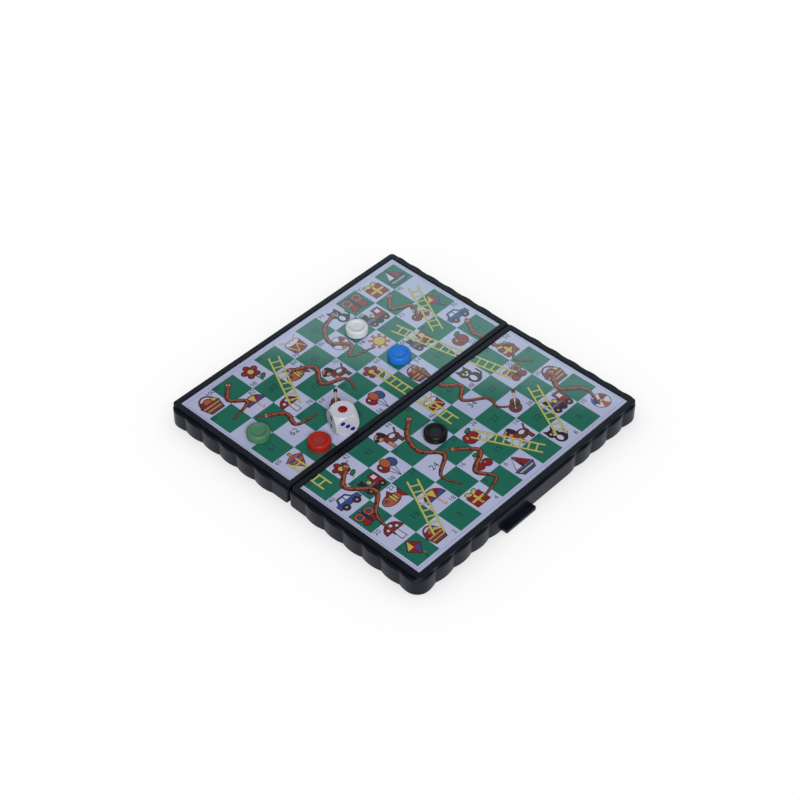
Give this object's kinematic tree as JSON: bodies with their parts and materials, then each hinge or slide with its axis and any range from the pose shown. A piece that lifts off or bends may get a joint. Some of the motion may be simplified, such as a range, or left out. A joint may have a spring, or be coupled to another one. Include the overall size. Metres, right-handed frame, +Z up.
{
  "type": "snakes and ladders board",
  "caption": "Folding magnetic snakes and ladders board: hollow scalloped trays on double-pin hinge links, printed faces over steel, loose magnetic discs and a die that store inside.",
  "frame": {"origin": "on the table under the middle of the fold, the bottom centre of the open board", "axes": "+X along the fold to the right seen from the front thumb tab, +Y from the near half to the far half, +Z up"},
  "size_m": [0.1328, 0.143, 0.0185],
  "materials": {
    "tray_plastic": "satin moulded black polystyrene",
    "link_plastic": "matt moulded black acetal",
    "plate_steel": "tinned sheet steel",
    "pin_steel": "drawn steel wire",
    "printed_vinyl": "printed sheet with a thin clear film",
    "magnet": "sintered ferrite",
    "white_plastic": "moulded",
    "blue_plastic": "moulded",
    "green_plastic": "moulded",
    "red_plastic": "moulded",
    "black_plastic": "moulded",
    "die_plastic": "tumbled, pips sunk and painted"
  },
  "bodies": {
    "near": {"near_shell": "tray_plastic", "near_steel_plate": "plate_steel", "near_printed_sheet": "printed_vinyl", "near_pin_left": "pin_steel", "near_pin_right": "pin_steel"},
    "links": {"hinge_link_left": "link_plastic", "hinge_link_right": "link_plastic"},
    "far": {"far_shell": "tray_plastic", "far_steel_plate": "plate_steel", "far_printed_sheet": "printed_vinyl", "far_pin_left": "pin_steel", "far_pin_right": "pin_steel"},
    "white_disc": {"white_disc_cap": "white_plastic", "white_disc_magnet": "magnet"},
    "blue_disc": {"blue_disc_cap": "blue_plastic", "blue_disc_magnet": "magnet"},
    "green_disc": {"green_disc_cap": "green_plastic", "green_disc_magnet": "magnet"},
    "red_disc": {"red_disc_cap": "red_plastic", "red_disc_magnet": "magnet"},
    "black_disc": {"black_disc_cap": "black_plastic", "black_disc_magnet": "magnet"},
    "die": {"dice": "die_plastic"}
  },
  "joints": [
    {"name": "near_fold", "type": "hinge", "parent": "near", "child": "links", "pos_m": [0, -0.00235, 0.0022], "axis": [-1, 0, 0], "range_deg": [0, 90]},
    {"name": "far_fold", "type": "hinge", "parent": "links", "child": "far", "pos_m": [0, 0.00235, 0.0022], "axis": [-1, 0, 0], "range_deg": [0, 90]},
    {"name": "white_disc_lift", "type": "slide", "parent": "far", "child": "white_disc", "axis": [0, 0, 1], "range_m": [0, 0.03]},
    {"name": "blue_disc_lift", "type": "slide", "parent": "far", "child": "blue_disc", "axis": [0, 0, 1], "range_m": [0, 0.03]},
    {"name": "green_disc_lift", "type": "slide", "parent": "far", "child": "green_disc", "axis": [0, 0, 1], "range_m": [0, 0.03]},
    {"name": "red_disc_lift", "type": "slide", "parent": "far", "child": "red_disc", "axis": [0, 0, 1], "range_m": [0, 0.03]},
    {"name": "black_disc_lift", "type": "slide", "parent": "near", "child": "black_disc", "axis": [0, 0, 1], "range_m": [0, 0.03]},
    {"name": "die_lift", "type": "slide", "parent": "far", "child": "die", "axis": [0, 0, 1], "range_m": [0, 0.03]}
  ],
  "couplings": [
    {"joint": "far_fold", "follows": "near_fold", "ratio": 1}
  ]
}
